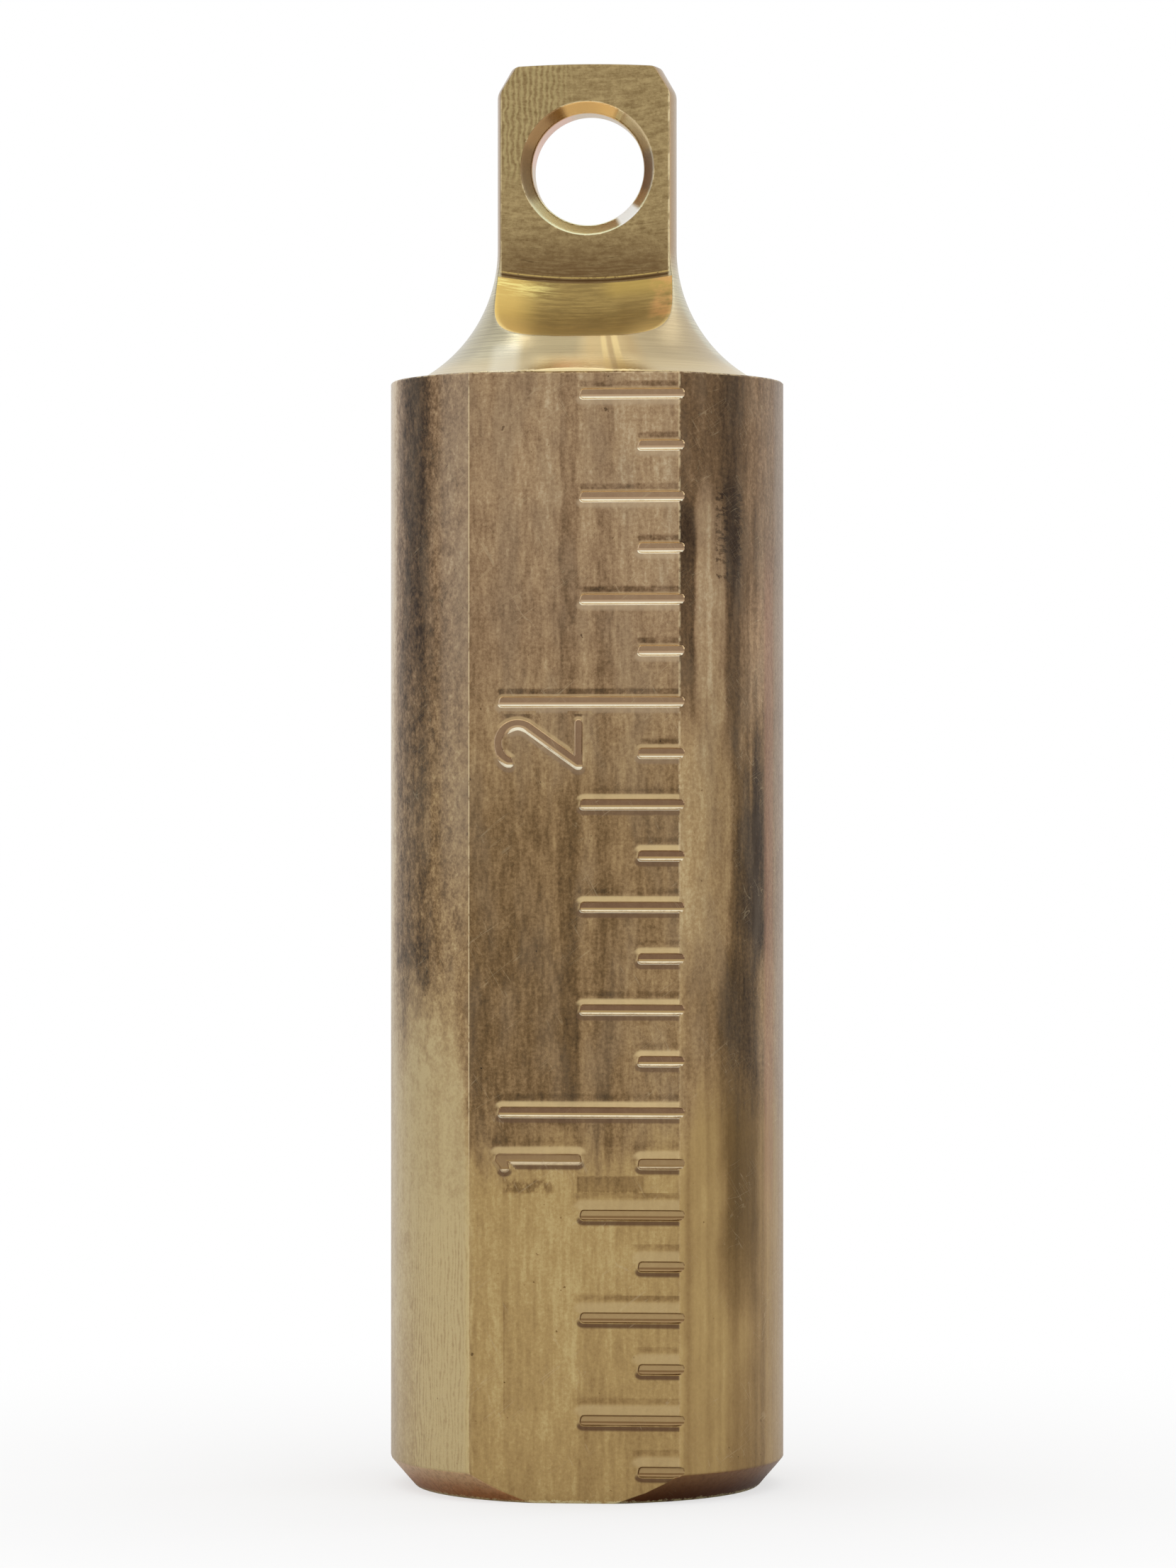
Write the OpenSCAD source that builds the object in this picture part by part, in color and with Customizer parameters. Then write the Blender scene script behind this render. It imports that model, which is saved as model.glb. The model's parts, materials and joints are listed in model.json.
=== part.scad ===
// Sounding weight of a dipping tape: a turned brass weight with an inch scale
// stamped on one flat, and a flared stem whose milled tang holds the tape's hook.
// Millimetres, +Z up. The origin is the centre of the foot's face, the scale faces -Y.

/* [Weight body] */
// Diameter of the round body
body_d = 25; // [23:0.5:30]
// Height of the body, from the foot's face to the shoulder
body_h = 70; // [60:1:74]
// Depth of the scale's flat below the round side
flat_cut = 1.8; // [1.5:0.1:2.4]
// Width of the foot's chamfer, measured across the foot
foot_chamfer_w = 1.55; // [0.5:0.05:3]
// Height of the foot's chamfer
foot_chamfer_h = 1.8; // [0.5:0.05:3]

/* [Inch scale] */
// Divisions in one inch
divisions = 8; // [4, 8, 16]
// Height of the foot's face above the scale's zero
foot_above_zero = 1.13; // [0:0.01:1.4]
// Length of a mark at a whole inch
inch_mark = 11.2; // [9:0.1:11.6]
// Length of a mark at a quarter or half inch
quarter_mark = 6.15; // [4:0.05:8]
// Length of a finer mark
fine_mark = 2.55; // [1.5:0.05:3.5]
// Width of a mark's groove
mark_w = 0.45; // [0.2:0.05:0.7]
// Depth of the marks and numerals
mark_depth = 0.22; // [0.1:0.01:0.4]

/* [Numerals] */
// Height of a numeral
digit_h = 5; // [4:0.1:5.5]
// Width of a numeral
digit_w = 2.45; // [2:0.05:3]
// Width of a numeral's stroke
digit_stroke = 0.35; // [0.2:0.01:0.5]
// Distance from the flat's marked edge to a numeral's foot
digit_base = 6.26; // [5:0.02:7]
// Distance from an inch mark down to its numeral
digit_drop = 1.4; // [0.8:0.05:2]
// Distance from a numeral's left side to the stem of the 1
one_stem = 0.89; // [0.8:0.01:1.6]
// Width of the flag on the 1
one_flag_w = 0.68; // [0.4:0.02:0.8]
// Height of the flag on the 1
one_flag_h = 0.54; // [0.3:0.02:1]

/* [Stem and tang] */
// Height of the stem above the shoulder, its crown included
stem_h = 20.15; // [19.2:0.05:24]
// Diameter of the stem's neck
neck_d = 11.4; // [10.6:0.1:12.6]
// Radius of the concave flare between neck and shoulder
flare_r = 9.5; // [9:0.1:11]
// Height above the shoulder at which the flare meets the neck
flare_h = 8.54; // [7.6:0.02:8.9]
// Thickness of the tang between its two milled faces
tang_t = 4; // [3:0.1:5]
// Width of the chamfer round the stem's end
end_chamfer_w = 0.95; // [0.4:0.05:1.5]
// Height of the chamfer round the stem's end
end_chamfer_h = 1.65; // [0.6:0.05:2.5]
// Height of the crown on the stem's end
crown_h = 0.15; // [0.05:0.05:0.4]

/* [Milled root of the tang] */
// Radius of the cove that the cutter leaves below each face
cove_r = 6; // [5.6:0.1:6.4]
// Distance from the tang's mid plane to the centre of the cove
cove_out = 7.55; // [7.3:0.05:7.8]
// Height of the cove's lowest line above the shoulder
cove_low = 2.5; // [2:0.1:3.2]
// Radius at which the cutter swings the cove's centre
cutter_swing = 30; // [20:1:60]

/* [Eye] */
// Diameter of the eye's bore
eye_d = 7.1; // [5:0.1:7.6]
// Diameter of the eye's countersinks at the tang's faces
eye_mouth_d = 8.5; // [7.8:0.1:9.2]
// Height of the eye's centre above the shoulder
eye_h = 13.53; // [12:0.01:14]
// Distance of the eye's centre from the stem's axis, towards the marked edge
eye_side = 0.15; // [-0.3:0.01:0.3]

/* [Threaded joint] */
// Outside diameter of the thread that holds the stem
thread_d = 10; // [8:0.5:12]
// Pitch of that thread
thread_pitch = 1.5; // [1:0.25:1.75]
// Length of the threaded spigot below the shoulder
spigot_l = 12; // [8:0.5:16]
// Length of the undercut behind the thread
undercut_l = 2; // [1:0.25:3]
// Radial clearance left between spigot and tapped hole
thread_gap = 0.05; // [0.02:0.01:0.1]
// Depth of the tapped hole beyond the spigot's end
hole_run_out = 2; // [1:0.5:4]
// Point angle of the drill that made the tapped hole
drill_point = 118; // [90:1:140]

/* [Hidden] */
$fn = 120;

// One inch
inch = 25.4;
// Amount by which a cutting solid runs past the face that it cuts
past = 1;

body_r = body_d / 2;
flat_y = body_r - flat_cut;
flat_half_w = sqrt(body_r * body_r - flat_y * flat_y);

mark_pitch = inch / divisions;
mark_count = floor((body_h - mark_w + foot_above_zero) / mark_pitch);
inch_count = floor(mark_count / divisions);

neck_r = neck_d / 2;
// Radius at which the flare runs out on the shoulder
toe_r = neck_r + flare_r - sqrt(flare_r * flare_r - flare_h * flare_h);
stem_top = body_h + stem_h;
end_r = neck_r - end_chamfer_w;
crown_r = (end_r * end_r + crown_h * crown_h) / (2 * crown_h);

face_y = tang_t / 2;
eye_z = body_h + eye_h;
mouth_depth = (eye_mouth_d - eye_d) / 2;
cutter_z = body_h + cove_low + cove_r + cutter_swing;
// Distance from the cutter's axis to the line where a face meets its cove
face_reach = cutter_swing + sqrt(cove_r * cove_r - (cove_out - face_y) * (cove_out - face_y));

// The thread is drawn plain, at its mean diameter
spigot_d = thread_d - 0.65 * thread_pitch;
undercut_d = thread_d - 1.4 * thread_pitch;
hole_d = spigot_d + 2 * thread_gap;
hole_mouth_d = thread_d + 2 * thread_gap;
hole_mouth_h = (hole_mouth_d - hole_d) / 2;
hole_depth = spigot_l + hole_run_out;
drill_cone_h = hole_d / 2 / tan(drill_point / 2);

// A straight stroke with round ends, from point a to point b
module stroke(a, b, w) {
    translate(a) circle(d = w);
    translate(b) circle(d = w);
    translate(a) rotate(atan2(b[1] - a[1], b[0] - a[0]))
        translate([0, -w / 2]) square([norm(b - a), w]);
}

// A curved stroke with round ends, about centre c from angle a0 up to angle a1
module arc_stroke(c, r, a0, a1, w) {
    reach = 2 * (r + w);
    middle = (a0 + a1) / 2;
    translate(c) {
        difference() {
            circle(r = r + w / 2);
            circle(r = r - w / 2);
            // The part of the circle that the stroke leaves out
            polygon([
                [0, 0],
                reach * [cos(a0), sin(a0)],
                reach * [cos(middle - 120), sin(middle - 120)],
                -reach * [cos(middle), sin(middle)],
                reach * [cos(middle + 120), sin(middle + 120)],
                reach * [cos(a1), sin(a1)]
            ]);
        }
        for (a = [a0, a1]) rotate(a) translate([r, 0]) circle(d = w);
    }
}

module numeral_one() {
    top = [one_stem, digit_h - digit_stroke / 4];
    stroke([one_stem, digit_stroke / 4], top, digit_stroke);
    stroke(top, top - [one_flag_w, one_flag_h], digit_stroke);
}

// The bowl runs into a straight leg that touches it and ends at the numeral's foot
module numeral_two() {
    bowl_r = digit_w / 2;
    bowl_c = [bowl_r, digit_h - bowl_r];
    leg_angle = atan2(bowl_c[1], bowl_c[0]) - asin(bowl_r / norm(bowl_c));
    leg_l = sqrt(bowl_c * bowl_c - bowl_r * bowl_r);
    arc_stroke(bowl_c, bowl_r, leg_angle - 90, 153, digit_stroke);
    stroke([0, 0], leg_l * [cos(leg_angle), sin(leg_angle)], digit_stroke);
    stroke([0, 0], [digit_w, 0], digit_stroke);
}

// Sinks a flat drawing into the scale's flat. In the drawing x is the height on the
// part, and y is the distance from the flat's marked edge.
module stamped() {
    translate([flat_half_w, mark_depth - flat_y, 0]) rotate([90, 0, 0]) rotate([0, 0, 90])
        linear_extrude(mark_depth + past) children();
}

function mark_z(k) = k * mark_pitch - foot_above_zero;

function mark_length(k) =
    k % divisions == 0 ? inch_mark : k % (divisions / 4) == 0 ? quarter_mark : fine_mark;

module scale_marks() {
    for (k = [1 : mark_count])
        stamped() stroke([mark_z(k), -past], [mark_z(k), mark_length(k) - mark_w / 2], mark_w);
}

module scale_numerals() {
    for (n = [1 : inch_count])
        stamped() translate([mark_z(n * divisions) - digit_drop - digit_w, digit_base])
            if (n == 1) numeral_one(); else numeral_two();
}

// Everything in front of the scale's flat
module beyond_flat() {
    translate([-body_d, -flat_y - body_d, -past]) cube([2 * body_d, body_d, stem_top + 2 * past]);
}

module tapped_hole() {
    translate([0, 0, body_h - hole_depth]) cylinder(d = hole_d, h = hole_depth + past);
    translate([0, 0, body_h - hole_depth - drill_cone_h])
        cylinder(d1 = 0, d2 = hole_d, h = drill_cone_h);
    translate([0, 0, body_h - hole_mouth_h])
        cylinder(d1 = hole_d, d2 = hole_mouth_d, h = hole_mouth_h);
}

module weight_body() {
    color([0.60, 0.49, 0.36]) difference() {
        rotate_extrude() polygon([
            [0, 0],
            [body_r - foot_chamfer_w, 0],
            [body_r, foot_chamfer_h],
            [body_r, body_h],
            [0, body_h]
        ]);
        beyond_flat();
        tapped_hole();
        scale_marks();
        scale_numerals();
    }
}

// Outline of the turned stem above the shoulder
module stem_outline() {
    intersection() {
        union() {
            difference() {
                square([toe_r, flare_h]);
                translate([neck_r + flare_r, flare_h]) circle(r = flare_r);
            }
            polygon([
                [0, 0],
                [neck_r, 0],
                [neck_r, stem_h - crown_h - end_chamfer_h],
                [end_r, stem_h - crown_h],
                [end_r, stem_h],
                [0, stem_h]
            ]);
        }
        translate([0, stem_h - crown_r]) circle(r = crown_r);
    }
}

module spigot() {
    translate([0, 0, body_h - undercut_l]) cylinder(d = undercut_d, h = undercut_l + past);
    translate([0, 0, body_h - spigot_l]) {
        cylinder(d1 = undercut_d, d2 = spigot_d, h = (spigot_d - undercut_d) / 2);
        translate([0, 0, (spigot_d - undercut_d) / 2])
            cylinder(d = spigot_d, h = spigot_l - undercut_l - (spigot_d - undercut_d) / 2);
    }
}

// Sweep of the round-nosed cutter that leaves one face of the tang and the cove below it
module face_cutter() {
    depth = neck_d + past;
    translate([0, 0, cutter_z]) rotate([90, 0, 0]) rotate_extrude() {
        intersection() {
            translate([cutter_swing, cove_out]) circle(r = cove_r);
            translate([0, face_y]) square([cutter_swing + cove_r + past, depth]);
        }
        translate([0, face_y]) square([face_reach, cove_out - face_y]);
        translate([0, cove_out]) square([cutter_swing + cove_r, depth - cove_out]);
    }
}

module eye_cutter() {
    translate([eye_side, 0, eye_z]) rotate([90, 0, 0]) {
        cylinder(d = eye_d, h = tang_t + 2 * past, center = true);
        for (side = [0, 1]) mirror([0, 0, side]) translate([0, 0, face_y - mouth_depth])
            cylinder(d1 = eye_d, d2 = eye_mouth_d + 2 * past, h = mouth_depth + past);
    }
}

module eye_stem() {
    color([0.78, 0.70, 0.46]) difference() {
        union() {
            translate([0, 0, body_h]) rotate_extrude() stem_outline();
            spigot();
        }
        face_cutter();
        mirror([0, 1, 0]) face_cutter();
        eye_cutter();
        beyond_flat();
    }
}

weight_body();
eye_stem();
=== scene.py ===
"""Looks of a dipping tape's brass sounding weight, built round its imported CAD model."""

import json
import math

import bpy
import numpy as np
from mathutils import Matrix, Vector, noise

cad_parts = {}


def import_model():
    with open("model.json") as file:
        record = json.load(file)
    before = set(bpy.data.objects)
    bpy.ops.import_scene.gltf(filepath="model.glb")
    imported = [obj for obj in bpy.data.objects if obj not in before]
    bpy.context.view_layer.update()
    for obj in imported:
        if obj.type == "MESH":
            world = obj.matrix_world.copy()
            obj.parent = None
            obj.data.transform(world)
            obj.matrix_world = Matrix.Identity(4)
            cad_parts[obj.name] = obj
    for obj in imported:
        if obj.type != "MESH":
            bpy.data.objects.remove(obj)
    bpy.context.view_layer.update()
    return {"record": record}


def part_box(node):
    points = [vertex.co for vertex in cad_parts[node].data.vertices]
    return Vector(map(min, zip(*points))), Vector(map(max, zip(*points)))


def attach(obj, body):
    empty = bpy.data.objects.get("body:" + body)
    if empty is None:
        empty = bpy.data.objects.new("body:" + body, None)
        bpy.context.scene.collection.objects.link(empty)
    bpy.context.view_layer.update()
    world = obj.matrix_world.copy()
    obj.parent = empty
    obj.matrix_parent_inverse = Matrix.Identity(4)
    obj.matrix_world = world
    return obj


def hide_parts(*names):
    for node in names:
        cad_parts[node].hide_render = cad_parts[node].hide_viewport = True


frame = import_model()

MM = 0.001

# Camera: where the photograph was taken from
IMAGE_H = 2212
FOCAL_PIXELS = 8015
SENSOR = 36.0
CAMERA_DISTANCE = 362 * MM
CAMERA_HEIGHT = 44.5 * MM
CAMERA_TURN = math.radians(4.4)
CAMERA_AIM_X = 0.05 * MM
FLOOR_HALF = 3.0

# Sizes that the frame gives, in millimetres
BODY_LOW, BODY_HIGH = (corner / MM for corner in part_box("weight_body"))
STEM_LOW, STEM_HIGH = (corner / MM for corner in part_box("eye_stem"))
EYE = next(m for m in frame["record"]["mounts"] if m["name"] == "eye")
BODY_R = BODY_HIGH.x
SHOULDER = BODY_HIGH.z
STEM_TOP = STEM_HIGH.z
EYE_X = EYE["pos_m"][0] / MM
EYE_Z = EYE["pos_m"][2] / MM
EYE_R = EYE["dims"]["r_mm"]

# Weight body. The stamping's raised lips reach the CAD flat, so the flat itself lies
# one lip lower.
LIP_H = 0.05
FLAT_Y = BODY_LOW.y + LIP_H
FOOT_CHAMFER_W = 1.55
FOOT_CHAMFER_H = 1.8
EDGE_ROUND = 0.09
CHATTER_PITCH = 0.3
FLAT_HALF_W = math.sqrt(BODY_R**2 - FLAT_Y**2)

# Tapped hole under the stem
HOLE_R = 4.56
HOLE_MOUTH_R = 5.05
HOLE_DEPTH = 14
HOLE_POINT = 2.74

# Inch scale
INCH = 25.4
DIVISIONS = 8
MARK_PITCH = INCH / DIVISIONS
FOOT_ABOVE_ZERO = 1.13
MARK_COUNT = 22
INCH_MARK = 11.2
QUARTER_MARK = 6.15
FINE_MARK = 2.55
MARK_OVERRUN = 1.0
MARK_W = 0.47
MARK_DEPTH = 0.13
END_DEPTH = 0.22
LOWER_WALL = 0.75
LIP_W = 0.5

# Numerals, in the drawing's own axes: x is up the part, y is from the marked edge
DIGIT_H = 5.0
DIGIT_W = 2.45
DIGIT_BASE = 6.26
DIGIT_DROP = 1.4
DIGIT_MARGIN = 0.4
STROKE_INSET = 0.09
ONE_STEM = 0.95
ONE_FLAG_W = 0.46
ONE_FLAG_H = 0.32
TWO_BOWL_END = 153

# Stem and tang
NECK_R = 5.7
FLARE_R = 9.5
FLARE_H = 8.54
TANG_HALF = 2.0
END_CHAMFER_W = 0.95
END_CHAMFER_H = 1.65
CROWN_H = 0.15
COVE_R = 6.0
COVE_OUT = 7.55
COVE_LOW = 2.5
CUTTER_SWING = 30
TANG_HALF_W = math.sqrt(NECK_R**2 - TANG_HALF**2)
# Where a cove meets the tang's face, as a distance from the cutter's axis
CREASE = CUTTER_SWING + math.sqrt(COVE_R**2 - (COVE_OUT - TANG_HALF) ** 2)
EYE_MOUTH_R = 4.25
SPIGOT_R = 4.51
STEM_ROUND = 0.14
EYE_ROUND = 0.06
STEM_CELL = 0.14
SPIGOT_CELL = 0.5


def srgb(*display):
    """A linear colour from display values of 0 to 255."""
    shares = [v / 255 for v in display]
    linear = [v / 12.92 if v <= 0.04045 else ((v + 0.055) / 1.055) ** 2.4 for v in shares]
    return (*linear, 1.0)


def feed(place, value):
    """Links or sets one input socket of a node."""
    if isinstance(value, Socket):
        value.tree.links.new(value.socket, place)
    elif value is not None:
        place.default_value = value


def arithmetic(operation, turned=False):
    """A method of Socket that adds one Math node, with its operands turned or not."""
    def method(self, other):
        return self.math(operation, *((other, self) if turned else (self, other)))
    return method


class Socket:
    """An output socket of a node tree, with arithmetic that adds Math nodes."""

    def __init__(self, tree, socket):
        self.tree = tree
        self.socket = socket

    def math(self, operation, *values):
        node = self.tree.nodes.new("ShaderNodeMath")
        node.operation = operation
        for place, value in zip(node.inputs, values):
            feed(place, value)
        return Socket(self.tree, node.outputs[0])

    __add__ = arithmetic("ADD")
    __radd__ = arithmetic("ADD", turned=True)
    __sub__ = arithmetic("SUBTRACT")
    __rsub__ = arithmetic("SUBTRACT", turned=True)
    __mul__ = arithmetic("MULTIPLY")
    __rmul__ = arithmetic("MULTIPLY", turned=True)
    __truediv__ = arithmetic("DIVIDE")
    __pow__ = arithmetic("POWER")
    min = arithmetic("MINIMUM")
    max = arithmetic("MAXIMUM")

    def step(self, low, high):
        """Runs smoothly from 0 at low to 1 at high."""
        node = self.tree.nodes.new("ShaderNodeMapRange")
        node.interpolation_type = "SMOOTHSTEP"
        for name, value in (("Value", self), ("From Min", low), ("From Max", high)):
            feed(node.inputs[name], value)
        return Socket(self.tree, node.outputs[0])

    def fall(self, low, high):
        """Runs smoothly from 1 at low to 0 at high."""
        return 1 - self.step(low, high)

    def __neg__(self):
        return self.math("MULTIPLY", self, -1)

    def size(self):
        """The value without its sign."""
        return self.math("ABSOLUTE", self)

    def fraction(self):
        return self.math("FRACT", self)

    def sine(self):
        return self.math("SINE", self)

    def angle(self, other):
        """The turn in degrees from the other axis towards this one."""
        return self.math("ARCTAN2", self, other) * (180 / math.pi)

    def band(self, centre, half, soft):
        """1 within half of centre, falling to 0 over soft."""
        return (self - centre).size().fall(half, half + soft)


class Graph:
    """Adds nodes to one node tree."""

    def __init__(self, tree):
        self.tree = tree

    def node(self, kind, settings=None, inputs=None, out=0):
        """One node: its settings first, then its sockets' values or links."""
        node = self.tree.nodes.new(kind)
        for name, value in (settings or {}).items():
            if name == "stops":
                elements = node.color_ramp.elements
                while len(elements) < len(value):
                    elements.new(1.0)
                for element, (place, colour) in zip(elements, value):
                    element.position = place
                    element.color = colour
            else:
                setattr(node, name, value)
        for name, value in (inputs or {}).items():
            feed(node.inputs[name], value)
        return Socket(self.tree, node.outputs[out]) if node.outputs else node

    def split(self, vector):
        """The three parts of a vector."""
        first = self.node("ShaderNodeSeparateXYZ", inputs={"Vector": vector})
        return [Socket(self.tree, s) for s in first.socket.node.outputs]

    def join(self, x, y, z):
        return self.node("ShaderNodeCombineXYZ", inputs={"X": x, "Y": y, "Z": z})

    def mix(self, factor, a, b, blend="MIX"):
        """Colour b over colour a, either of them also as display values of 0 to 255."""
        a, b = (srgb(*c) if isinstance(c, tuple) and len(c) == 3 else c for c in (a, b))
        settings = {"data_type": "RGBA", "blend_type": blend, "clamp_factor": True}
        return self.node("ShaderNodeMix", settings, {0: factor, 6: a, 7: b}, out=2)

    def paint(self, colour, *coats):
        """The colour with coats over it in turn, each a share and a colour."""
        for share, coat in coats:
            colour = self.mix(share, colour, coat)
        return colour


class Surface(Graph):
    """The node tree of one material, with what this object's patterns need."""

    def __init__(self, name):
        self.material = bpy.data.materials.new(name)
        self.material.use_nodes = True
        super().__init__(self.material.node_tree)
        self.shader = self.tree.nodes["Principled BSDF"]
        place = self.node("ShaderNodeTexCoord", out="Object")
        self.place = self.node("ShaderNodeVectorMath", {"operation": "SCALE"},
                               {"Vector": place, "Scale": 1 / MM})
        self.x, self.y, self.z = self.split(self.place)

    def noise(self, stretch, scale, detail=3.0, roughness=0.55, shift=0.0):
        """Noise from 0 to 1 over the place in millimetres, drawn out by stretch."""
        vector = self.node("ShaderNodeMapping", inputs={
            "Vector": self.place, "Location": (shift, shift, shift), "Scale": stretch})
        return self.noise_at(vector, scale, detail, roughness)

    def noise_at(self, vector, scale, detail=3.0, roughness=0.55):
        """Noise from 0 to 1 over a place of its own."""
        return self.node("ShaderNodeTexNoise", {"noise_dimensions": "3D"}, {
            "Vector": vector, "Scale": scale, "Detail": detail, "Roughness": roughness})

    def attribute(self, name):
        return self.node("ShaderNodeAttribute", {"attribute_name": name}, out="Fac")

    def finish(self, colour, roughness, height, metallic=1.0):
        """Sets the shader's colour, roughness and relief, with height in millimetres."""
        feed(self.shader.inputs["Base Color"], colour)
        feed(self.shader.inputs["Roughness"], roughness)
        feed(self.shader.inputs["Metallic"], metallic)
        bump = self.node("ShaderNodeBump", inputs={
            "Strength": 1.0, "Distance": MM, "Height": height})
        feed(self.shader.inputs["Normal"], bump)
        return self.material


def make_mesh(name, points, faces, attributes=None):
    """A smooth mesh object from points in millimetres."""
    mesh = bpy.data.meshes.new(name)
    mesh.from_pydata((np.asarray(points) * MM).tolist(), [], [tuple(f) for f in faces])
    mesh.shade_smooth()
    for key, values in (attributes or {}).items():
        mesh.attributes.new(key, "FLOAT", "POINT").data.foreach_set(
            "value", np.asarray(values, np.float32))
    piece = bpy.data.objects.new(name, mesh)
    bpy.context.scene.collection.objects.link(piece)
    return piece


def filled(places, longest):
    """The sorted places, without those closer than 0.02, and with more between them so
    that no gap is over longest(a, b)."""
    places = sorted(set(round(p, 4) for p in places))
    rows = [places[0]]
    for a, b in zip(places, places[1:]):
        if b - a < 0.02:
            continue
        count = max(1, math.ceil((b - a) / longest(a, b)))
        rows += [a + (b - a) * i / count for i in range(1, count + 1)]
    return rows


def mark_z(k):
    return k * MARK_PITCH - FOOT_ABOVE_ZERO


def body_rows():
    """Heights of the body's rings: close across each mark and through the numerals."""
    rows = [0, FOOT_CHAMFER_H - EDGE_ROUND, FOOT_CHAMFER_H + EDGE_ROUND]
    rows += [EDGE_ROUND, 2 * EDGE_ROUND, SHOULDER - 2 * EDGE_ROUND, SHOULDER - EDGE_ROUND]
    across = (0.75, 0.5, 0.34, 0.27, 0.245, 0.22, 0.195, 0.14, 0,
              -0.18, -0.31, -0.345, -0.375, -0.405, -0.435, -0.5, -0.62, -0.85)
    for k in range(1, MARK_COUNT + 1):
        rows += [mark_z(k) + rise for rise in across]
    margin = DIGIT_MARGIN + 0.05
    digit_zones = [(mark_z(n * DIVISIONS) - DIGIT_DROP - DIGIT_W - margin,
                    mark_z(n * DIVISIONS) - DIGIT_DROP + margin) for n in (1, 2)]

    def longest(a, b):
        middle = (a + b) / 2
        in_digit = any(low < middle < high for low, high in digit_zones)
        return 0.1 if in_digit else 0.6

    return [z for z in filled(rows, longest) if 0 <= z < SHOULDER]


def body_outline():
    """The body's section: places across the flat as shares of its half width, then
    shares of the arc round the back, both in the order of one closed ring."""
    width = 2 * FLAT_HALF_W
    fine_low = DIGIT_BASE - DIGIT_MARGIN
    fine_high = DIGIT_BASE + DIGIT_H + DIGIT_MARGIN
    across = [EDGE_ROUND, 2 * EDGE_ROUND, width - EDGE_ROUND, width - 2 * EDGE_ROUND]
    across += [fine_low, fine_high]
    round_ends = [(length - 0.52, length + 0.06) for length in (FINE_MARK, QUARTER_MARK)]
    across += [v for zone in round_ends for v in zone]

    def longest(a, b):
        middle = (a + b) / 2
        if any(low < middle < high for low, high in round_ends):
            return 0.06
        return 0.1 if fine_low < middle < fine_high else 0.24

    across = filled(across, longest)
    # Round the back from the flat's left edge to its right, where the marks run over
    arc = 2 * (math.pi - math.atan2(FLAT_HALF_W, -FLAT_Y)) * BODY_R
    round_back = [EDGE_ROUND, 0.27, 0.5, 0.9]
    round_back += [arc - v for v in (0.85, 0.66, 0.53, 0.45, 0.38, 0.31, 0.24, EDGE_ROUND)]
    round_back = filled(round_back, lambda a, b: 1.2)
    return [(FLAT_HALF_W - v) / FLAT_HALF_W for v in across], [v / arc for v in round_back]


def wear(z, side):
    """How far an edge of the flat is worn round at a height, as a share of its mean."""
    place = Vector((z * 1.3, side * 7.0, 0.5))
    return 1 + 0.8 * noise.noise(place) + 0.5 * noise.noise(place * 4.1)


def body_ring(radius, shares, arcs, z):
    """One closed ring of the body's section, from the flat's right edge to its left and
    round the back."""
    half = math.sqrt(max(radius**2 - FLAT_Y**2, 0))
    corner = math.atan2(half, -FLAT_Y)
    flat = [[s * half, FLAT_Y, z] for s in shares]
    turns = [corner + a * (math.pi - corner) * 2 for a in arcs]
    back = [[-radius * math.sin(t), -radius * math.cos(t), z] for t in turns]
    for side, edge, next_edge in ((1, flat[0], back[-1]), (-1, flat[-1], back[0])):
        slack = EDGE_ROUND * (wear(z, side) - 1)
        edge[0] -= side * slack
        turn = corner + (EDGE_ROUND + slack) / radius
        next_edge[0] = side * radius * math.sin(turn)
        next_edge[1] = -radius * math.cos(turn)
    return flat + back


def bridge(first, second, count):
    """Quads between two rings of count points, numbered from first and from second."""
    return [(first + i, first + (i + 1) % count, second + (i + 1) % count, second + i)
            for i in range(count)]


def weight_body():
    """The round body: rings up its height, closed by the foot below and, above, by the
    shoulder and the tapped hole."""
    shares, arcs = body_outline()
    count = len(shares) + len(arcs)
    points = []
    for z in body_rows():
        rise = min(1, z / FOOT_CHAMFER_H)
        radius = BODY_R - FOOT_CHAMFER_W * (1 - rise)
        if z == 0:
            radius -= 0.3 * EDGE_ROUND
        points += body_ring(radius, shares, arcs, z)
    rings = len(points) // count
    rim = np.array(points[-count:])

    def inner(share, z):
        ring = rim * (share, share, 0)
        ring[:, 2] = z
        return ring.tolist()

    def circle(radius, z):
        around = rim[:, :2] / np.linalg.norm(rim[:, :2], axis=1)[:, None] * radius
        return [(x, y, z) for x, y in around]

    points += inner(1 - EDGE_ROUND / BODY_R, SHOULDER)
    points += inner(1 - 2 * EDGE_ROUND / BODY_R, SHOULDER)
    points += circle(HOLE_MOUTH_R, SHOULDER)
    points += circle(HOLE_R, SHOULDER - (HOLE_MOUTH_R - HOLE_R))
    points += circle(HOLE_R, SHOULDER - HOLE_DEPTH)
    above = len(points) // count
    faces = []
    for ring in range(above - 1):
        faces += bridge(ring * count, (ring + 1) * count, count)
    top = (above - 1) * count
    points.append((0, 0, SHOULDER - HOLE_DEPTH - HOLE_POINT))
    faces += [(top + i, top + (i + 1) % count, len(points) - 1) for i in range(count)]
    foot = np.array(points[:count])
    last = 0
    for share in (1 - EDGE_ROUND / BODY_R, 1 - 2 * EDGE_ROUND / BODY_R):
        faces += [(b, a, d, c) for a, b, c, d in bridge(last, len(points), count)]
        last = len(points)
        points += (foot * (share, share, 0)).tolist()
    points.append((0, 0, 0))
    faces += [(last + (i + 1) % count, last + i, len(points) - 1) for i in range(count)]
    on_flat = ([1] * len(shares) + [0] * len(arcs)) * rings
    on_flat += [0] * (len(points) - len(on_flat))
    # The rings run clockwise, so every face is turned round once
    return make_mesh("stamped_body", points, [f[::-1] for f in faces], {"scale_flat": on_flat})


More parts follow.
